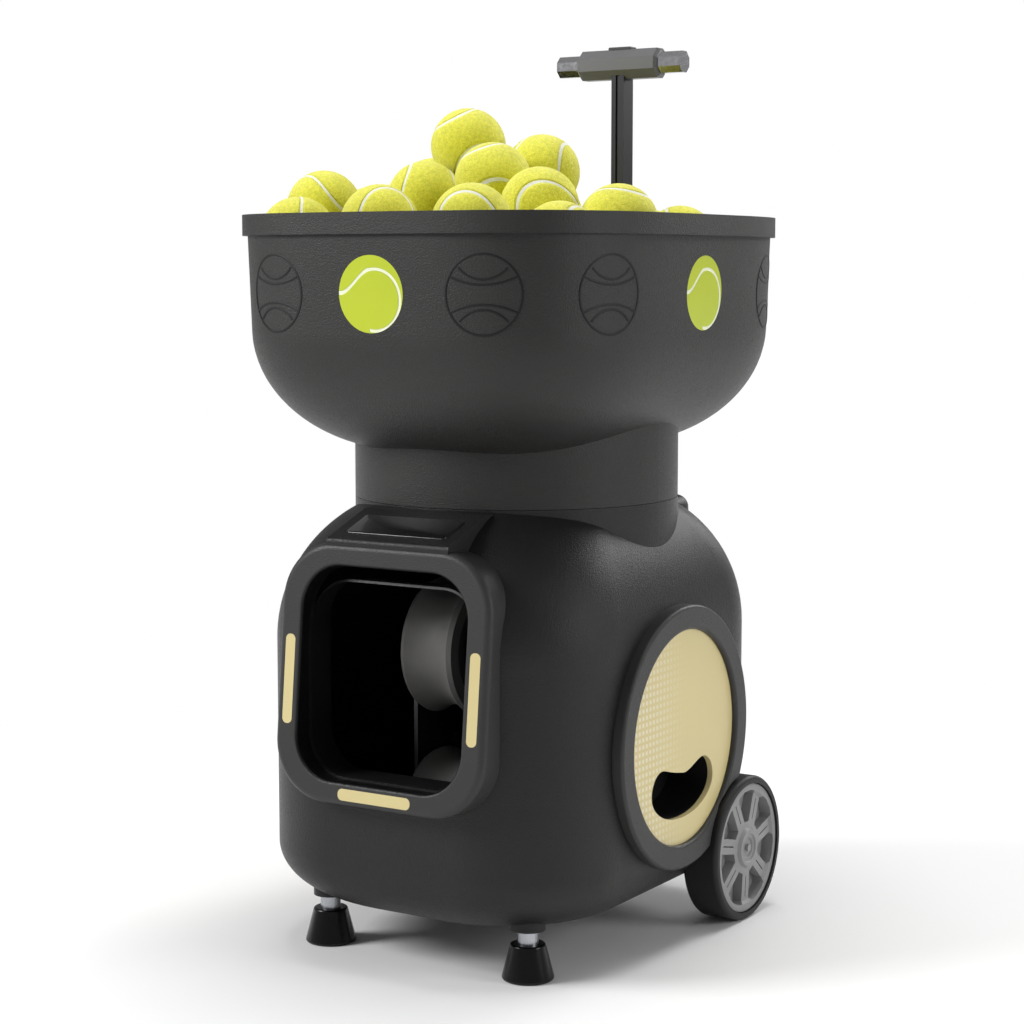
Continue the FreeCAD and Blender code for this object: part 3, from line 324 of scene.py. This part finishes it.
# %% Give every CAD piece its material
FINISH = {
    # Painted shade: the body's casing is a darker copy of the hopper's plastic.
    shaded_casing: "base_pan body_shell rear_fairing control_pod",
    hopper_skin: "hopper_shell",
    bezel_skin: "front_bezel",
    ring_skin: "side_rings",
    cream: "bezel_strips",
    cream_dots: "side_discs",
    dark_moulding: "throat grip_cups ball_chute battery_tray axle_blocks foot_sockets",
    feeder_moulding: "feed_deck drop_tube hopper_funnel carousel",
    nylon: "throw_hub_upper throw_hub_lower release_button switch_rocker",
    panel_gloss: "control_panel switch_frame charge_socket",
    emblem_green: "emblem_discs",
    battery_wrap: "battery_pack",
    board_green: "control_board",
    motor_black: "feeder_motor yaw_gearmotor throw_motor_upper throw_motor_lower",
    steel: "yaw_bearing axle_left axle_right carousel_shaft tilt_pins throw_shaft_upper throw_shaft_lower "
           "foot_rod_left foot_rod_right pan_screws",
    zinc: "turntable yoke_uprights head_plate_left head_plate_right",
    tread_rubber: "throw_tread_upper throw_tread_lower",
    hub_grey: "trolley_hub_left trolley_hub_right",
    tyre_rubber: "tyre_left tyre_right",
    foot_rubber: "rubber_foot_left rubber_foot_right",
    anodised: "mast_outer_tube mast_pole",
    sleeve_skin: "grip_sleeve",
    chrome: "grip_bar",
    felt: "tennis_balls",
}
finished = {name: material for material, names in FINISH.items() for name in names.split()}
for name, piece in nodes.items():
    piece.data.materials.clear()
    piece.data.materials.append(finished[name])
print("finished:", len(finished), "of", len(nodes))

# %% [markdown]
# ## Helpers for new pieces
# A new piece is drawn in a bmesh with operators, then becomes an object at the origin that rides on a body.

# %% Turn a bmesh into a piece
def piece_from(bm, name, body, material, replaced=(), smooth=35.0):
    bmesh.ops.recalc_face_normals(bm, faces=bm.faces)
    mesh = bpy.data.meshes.new(name)
    bm.to_mesh(mesh)
    bm.free()
    made = bpy.data.objects.new(name, mesh)
    bpy.context.scene.collection.objects.link(made)
    mesh.materials.append(material)
    mesh.shade_smooth()
    if smooth:
        mesh.set_sharp_from_angle(angle=math.radians(smooth))
    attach(made, body)
    if replaced:
        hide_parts(*replaced)
    print(name, len(mesh.polygons), "faces")
    return made


def loose_parts(node):
    """The corner points of each separate solid in a CAD node."""
    bm = bmesh.new()
    bm.from_mesh(nodes[node].data)
    bmesh.ops.remove_doubles(bm, verts=bm.verts, dist=1e-5)
    left, parts = set(bm.verts), []
    while left:
        reached, waiting = set(), [left.pop()]
        while waiting:
            vert = waiting.pop()
            reached.add(vert)
            for edge in vert.link_edges:
                other = edge.other_vert(vert)
                if other in left:
                    left.remove(other)
                    waiting.append(other)
        parts.append([v.co.copy() for v in reached])
    bm.free()
    return parts


def middle_of(points):
    low = Vector(min(p[i] for p in points) for i in range(3))
    high = Vector(max(p[i] for p in points) for i in range(3))
    return (low + high) / 2, (high - low) / 2


# %% [markdown]
# ## Cutting with a Boolean
# The hubs' pockets and slits are real cuts. A cutter mesh is subtracted once, and the result replaces the mesh, so
# no modifier stays live.

# %% Cut a piece with a cutter
def carve(piece, cutter):
    bmesh.ops.recalc_face_normals(cutter, faces=cutter.faces)
    mesh = bpy.data.meshes.new("cutter")
    cutter.to_mesh(mesh)
    cutter.free()
    tool = bpy.data.objects.new("cutter", mesh)
    bpy.context.scene.collection.objects.link(tool)
    cut = piece.modifiers.new("cut", "BOOLEAN")
    cut.object, cut.operation, cut.solver = tool, "DIFFERENCE", "EXACT"
    result = bpy.data.meshes.new_from_object(piece.evaluated_get(bpy.context.evaluated_depsgraph_get()))
    piece.modifiers.clear()
    piece.data = result
    bpy.data.objects.remove(tool)
    return piece


# %% [markdown]
# ## Outlines of balls on the hopper
# Between the green discs the hopper's wall carries engraved outlines of balls: a ring and two pairs of arcs. The
# shade in these grooves is painted: each line is a thin near-black bar bent flat by a spin, then wrapped on the
# wall by its distance along the rim, with no groove cut.

# %% The hopper wall's outline
WALL_HALF_X, WALL_HALF_Y, WALL_POWER, WALL_DRAFT = 0.189, 0.2247, 3.6, 0.03
EMBLEM_HEIGHT, EMBLEM_RADIUS = 0.579, 0.0325


def wall_outline(count=1440):
    """Points round the hopper's wall from the middle of the front, with the distance walked to each."""
    grow = WALL_DRAFT * (EMBLEM_HEIGHT - 0.545)
    points, walked = [], [0.0]
    for i in range(count + 1):
        turn = 2 * math.pi * i / count - math.pi / 2
        c, s = math.cos(turn), math.sin(turn)
        reach = (abs(c) ** WALL_POWER + abs(s) ** WALL_POWER) ** (-1 / WALL_POWER)
        points.append(Vector(((WALL_HALF_X + grow) * reach * c, (WALL_HALF_Y + grow) * reach * s, 0)))
    for one, two in zip(points, points[1:]):
        walked.append(walked[-1] + (two - one).length)
    return points, walked


wall_points, wall_walk = wall_outline()
wall_length = wall_walk[-1]


def on_wall(along, up, out):
    """The place on the wall at a distance along it from the front middle, raised by out."""
    along %= wall_length
    i = max(k for k in range(0, len(wall_walk), 8) if wall_walk[k] <= along)
    while i < len(wall_walk) - 2 and wall_walk[i + 1] < along:
        i += 1
    step = wall_points[i + 1] - wall_points[i]
    spot = wall_points[i] + step * ((along - wall_walk[i]) / step.length)
    normal = Vector((step.y, -step.x, 0)).normalized()
    return spot + normal * (out + WALL_DRAFT * up) + Vector((0, 0, EMBLEM_HEIGHT + up))


# %% Sweep and wrap the lines
def swept_line(bm, centre, radius, start, angle, thick):
    """A round bar bent to an arc in the plane of the emblem, x across, y up, z outwards."""
    rim = bmesh.ops.create_circle(bm, segments=6, radius=thick)["verts"]
    bmesh.ops.rotate(bm, verts=rim, cent=(0, 0, 0), matrix=Matrix.Rotation(math.pi / 2, 3, "X"))
    bmesh.ops.translate(bm, verts=rim, vec=(radius, 0, 0))
    bmesh.ops.rotate(bm, verts=rim, cent=(0, 0, 0), matrix=Matrix.Rotation(start, 3, "Z"))
    whole = abs(angle - 2 * math.pi) < 1e-6
    edges = list({e for v in rim for e in v.link_edges})
    if not whole:
        bmesh.ops.contextual_create(bm, geom=rim)
    made = bmesh.ops.spin(bm, geom=edges, cent=(0, 0, 0), axis=(0, 0, 1), angle=angle,
                          steps=max(8, int(angle / 0.09)), use_merge=whole, use_duplicate=False)
    if not whole:
        end = [g for g in made["geom_last"] if isinstance(g, bmesh.types.BMEdge)]
        bmesh.ops.contextual_create(bm, geom=end)
    return Vector(centre)


def groove_shade_lines():
    """One ring and two pairs of arcs for each plain emblem, two emblems round each corner of the hopper."""
    # Each line is a near-black bar: painted shade where the hopper's wall is engraved.
    whole = bmesh.new()
    lines = [((0, 0, 0), EMBLEM_RADIUS, 0.0, 2 * math.pi)]
    for side in (1, -1):
        for centre, radius, half_angle in ((0.0395, 0.0274, 0.856), (0.0735, 0.0656, 0.445)):
            lines.append(((0, side * centre, 0), radius, -side * math.pi / 2 - half_angle, 2 * half_angle))
    quarter = wall_length / 4
    reaches = ((0, 0.105), (quarter, 0.1426), (2 * quarter, 0.105), (3 * quarter, 0.1426))
    spots = [middle + sign * reach for middle, reach in reaches for sign in (1, -1)]
    for along in spots:
        for centre, radius, start, angle in lines:
            bm = bmesh.new()
            move = swept_line(bm, centre, radius, start, angle, 0.0011)
            bmesh.ops.translate(bm, verts=bm.verts, vec=move)
            for vert in bm.verts:
                vert.co = on_wall(along + vert.co.x, vert.co.y, vert.co.z * 0.5)
            bmesh.ops.recalc_face_normals(bm, faces=bm.faces)
            scrap = bpy.data.meshes.new("scrap")
            bm.to_mesh(scrap)
            bm.free()
            whole.from_mesh(scrap)
            bpy.data.meshes.remove(scrap)
    print("emblem lines:", len(spots) * len(lines))
    return whole


# Painted shade: the bars stand for the engraved grooves' shade, lying on the hopper's wall.
piece_from(groove_shade_lines(), "groove_shade_lines", "hopper", groove_shade_black, (), 40.0)

# %% [markdown]
# ## Control panel
# The panel is a polished plate on the pod's sloping top, with rounded corners and a softened edge.

# %% Control panel
def build_panel(half_x=0.051, half_y=0.0175, corner=0.004, thick=0.0016):
    bm = bmesh.new()
    plate = bmesh.ops.create_cube(bm, size=1.0)["verts"]
    bmesh.ops.scale(bm, verts=plate, vec=(2 * half_x, 2 * half_y, thick))
    uprights = [e for e in bm.edges if abs(e.verts[0].co.z - e.verts[1].co.z) > thick / 2]
    bmesh.ops.bevel(bm, geom=uprights, offset=corner, segments=6, profile=0.5, affect="EDGES")
    top = [e for e in bm.edges if min(v.co.z for v in e.verts) > 0]
    bmesh.ops.bevel(bm, geom=top, offset=0.0006, segments=3, profile=0.5, affect="EDGES")
    slope = math.atan2(0.3457, 0.9383)
    bmesh.ops.rotate(bm, verts=bm.verts, cent=(0, 0, 0), matrix=Matrix.Rotation(slope, 3, "X"))
    bmesh.ops.translate(bm, verts=bm.verts, vec=(0, -0.1779, 0.3825))
    return piece_from(bm, "panel_plate", "body", panel_gloss, ["control_panel"], 40.0)


build_panel()

# %% [markdown]
# ## Trolley wheel hubs
# Each grey hub is one moulding: a stepped rim, seven pockets, a slit down each spoke and a raised boss round
# the axle. The disc is a profile spun round the axle, and the pockets and slits are cut out.

# %% Trolley wheel hubs
def slab(bm, rim, depths, y, z):
    """A flat cutter between two depths along X, with its outline given about the axle."""
    face = bm.faces.new([bm.verts.new((depths[0], y + dy, z + dz)) for dy, dz in rim])
    raised = bmesh.ops.extrude_face_region(bm, geom=[face], use_keep_orig=True)["geom"]
    verts = [g for g in raised if isinstance(g, bmesh.types.BMVert)]
    bmesh.ops.translate(bm, verts=verts, vec=(depths[1] - depths[0], 0, 0))


def build_hub(side):
    name = "left" if side < 0 else "right"
    low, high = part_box(f"trolley_hub_{name}")
    y, z = (low.y + high.y) / 2, (low.z + high.z) / 2
    radius = (high.z - low.z) / 2
    outer, inner = (high.x, low.x) if side > 0 else (low.x, high.x)
    profile = [(0.0, 0.0), (0.0035, 0.0), (0.0035, 0.003), (0.0085, 0.003), (0.0095, 0.0015), (0.0125, 0.0015),
               (0.0135, 0.0), (0.0165, 0.0), (0.0185, 0.0030), (0.0240, 0.0032), (0.0500, 0.0042),
               (0.0525, 0.0018), (0.0580, 0.0014), (radius - 0.0006, 0.0020), (radius, 0.0040)]
    bm = bmesh.new()
    verts = [bm.verts.new((outer - side * deep, y, z + r)) for r, deep in profile]
    verts.append(bm.verts.new((inner, y, z + radius)))
    verts.append(bm.verts.new((inner, y, z)))
    edges = [bm.edges.new(pair) for pair in zip(verts, verts[1:])]
    bmesh.ops.spin(bm, geom=verts + edges, cent=(0, y, z), axis=(1, 0, 0), angle=2 * math.pi, steps=84,
                   use_merge=True, use_duplicate=False)
    bmesh.ops.remove_doubles(bm, verts=bm.verts, dist=1e-6)
    hub = piece_from(bm, f"wheel_hub_{name}", f"trolley_wheel_{name}", hub_grey,
                     [f"trolley_hub_{name}"], 0)
    cutter = bmesh.new()
    pocket = [(0.0245, -0.17), (0.0500, -0.305), (0.0530, -0.25), (0.0540, -0.12), (0.0540, 0.12), (0.0530, 0.25),
              (0.0500, 0.305), (0.0245, 0.17)]
    for i in range(7):
        turn = 2 * math.pi * i / 7
        rim = [(r * math.sin(turn + a), r * math.cos(turn + a)) for r, a in pocket]
        slab(cutter, rim, (outer - side * 0.013, outer + side * 0.01), y, z)
        turn += math.pi / 7
        along, across = (math.sin(turn), math.cos(turn)), (math.cos(turn), -math.sin(turn))
        rim = [(along[0] * r + across[0] * w, along[1] * r + across[1] * w)
               for r, w in ((0.027, -0.0006), (0.047, -0.0006), (0.047, 0.0006), (0.027, 0.0006))]
        slab(cutter, rim, (outer - side * 0.0065, outer + side * 0.01), y, z)
    carve(hub, cutter)
    hub.data.set_sharp_from_angle(angle=math.radians(30))


for side in (-1, 1):
    build_hub(side)

# %% [markdown]
# ## Tennis balls
# The heap is one group of spheres. Each gets a finer round mesh and its own random turn for the seam.
# The balls in view on top are finer than those below them.

# %% Tennis balls
def build_balls():
    random.seed(7)
    spots = sorted((middle_of(points)[0] for points in loose_parts("tennis_balls")), key=lambda p: -p.z)
    radius = middle_of(loose_parts("tennis_balls")[0])[1].z
    top_count = 36
    for name, group, level in (("balls_on_top", spots[:top_count], 5), ("balls_below", spots[top_count:], 4)):
        bm = bmesh.new()
        layer = bm.verts.layers.float_vector.new("ball")
        for spot in group:
            made = bmesh.ops.create_icosphere(bm, subdivisions=level, radius=radius)["verts"]
            turn = Matrix.Rotation(random.uniform(0, 6.28), 3, Vector([random.uniform(-1, 1) for _ in range(3)]))
            for vert in made:
                vert[layer] = turn @ (vert.co / radius)
            bmesh.ops.translate(bm, verts=made, vec=spot)
        piece_from(bm, name, "hopper", felt, ["tennis_balls"], 0)


build_balls()

# %% [markdown]
# ## Camera
# A long lens stands to the front and right of the machine, a little above its middle.

# %% Camera
camera_data = bpy.data.cameras.new("camera")
camera_data.lens, camera_data.sensor_width = 79.46, 36.0
camera_data.clip_end = 50.0
camera = bpy.data.objects.new("camera", camera_data)
camera.location = (1.0861, -1.7373, 0.5996)
camera.rotation_euler = (math.radians(90 - 6.14), 0.0, math.radians(32.13))
bpy.context.scene.collection.objects.link(camera)
bpy.context.scene.camera = camera

# %% [markdown]
# ## Studio
# A pale floor catches the shadow near the machine and turns into plain white further away, where it meets
# the white backdrop of the world. Large soft lamps stand left and in front, overhead, and weakly at the right.

# %% Floor
def build_floor():
    bm = bmesh.new()
    bmesh.ops.create_grid(bm, x_segments=1, y_segments=1, size=12.0)
    mesh = bpy.data.meshes.new("floor")
    bm.to_mesh(mesh)
    bm.free()
    floor = bpy.data.objects.new("floor", mesh)
    bpy.context.scene.collection.objects.link(floor)
    paint = Paint("white_floor", Roughness=0.7, Specular_IOR_Level=0.1)
    x, y, _ = paint.node("ShaderNodeSeparateXYZ", {}, {"Vector": paint.place()})
    far = ((x * x + y * y) ** 0.5).ramp(0.35, 1.1)
    rays = paint.node("ShaderNodeLightPath")
    seen = (rays[0] + rays[3]).maths("MINIMUM", 1.0)
    paint.shade(Base_Color=paint.mix(paint.noise(3.0), rgb(0.90, 0.90, 0.90), rgb(0.93, 0.93, 0.93)))
    glow = paint.node("ShaderNodeEmission", {}, {"Color": rgb(1, 1, 1), "Strength": 1.0})[0]
    out = paint.tree.nodes["Material Output"]
    body = Value(paint, paint.shader.outputs[0])
    blend = paint.tree.nodes.new("ShaderNodeMixShader")
    paint.feed(blend.inputs[0], far * seen)
    paint.feed(blend.inputs[1], body)
    paint.feed(blend.inputs[2], glow)
    paint.tree.links.new(blend.outputs[0], out.inputs[0])
    mesh.materials.append(paint.material)


build_floor()


# %% World and lamps
def build_light():
    world = bpy.data.worlds.new("studio")
    bpy.context.scene.world = world
    world.use_nodes = True
    tree = world.node_tree
    background = tree.nodes["Background"]
    background.inputs["Color"].default_value = rgb(1, 1, 1)
    rays = tree.nodes.new("ShaderNodeLightPath")
    seen = tree.nodes.new("ShaderNodeMath")
    seen.operation = "MAXIMUM"
    tree.links.new(rays.outputs["Is Camera Ray"], seen.inputs[0])
    tree.links.new(rays.outputs["Is Transmission Ray"], seen.inputs[1])
    level = tree.nodes.new("ShaderNodeMapRange")
    level.inputs["To Min"].default_value = 0.25
    level.inputs["To Max"].default_value = 1.0
    tree.links.new(seen.outputs[0], level.inputs["Value"])
    tree.links.new(level.outputs[0], background.inputs["Strength"])
    lamps = (("key", (-2.1, -2.1, 2.0), 1.4, 92.0), ("fill", (2.7, 0.4, 1.2), 1.2, 22.0),
             ("over", (0.1, 0.2, 2.8), 1.6, 42.0), ("rim", (0.6, 2.5, 1.6), 1.2, 26.0))
    for name, spot, size, power in lamps:
        lamp = bpy.data.lights.new(name, "AREA")
        lamp.shape, lamp.size, lamp.energy = "DISK", size, power
        made = bpy.data.objects.new(name, lamp)
        made.location = spot
        aim = Vector((0, 0, 0.4)) - Vector(spot)
        made.rotation_euler = aim.to_track_quat("-Z", "Y").to_euler()
        bpy.context.scene.collection.objects.link(made)


build_light()
bpy.context.scene.view_settings.view_transform = "Standard"
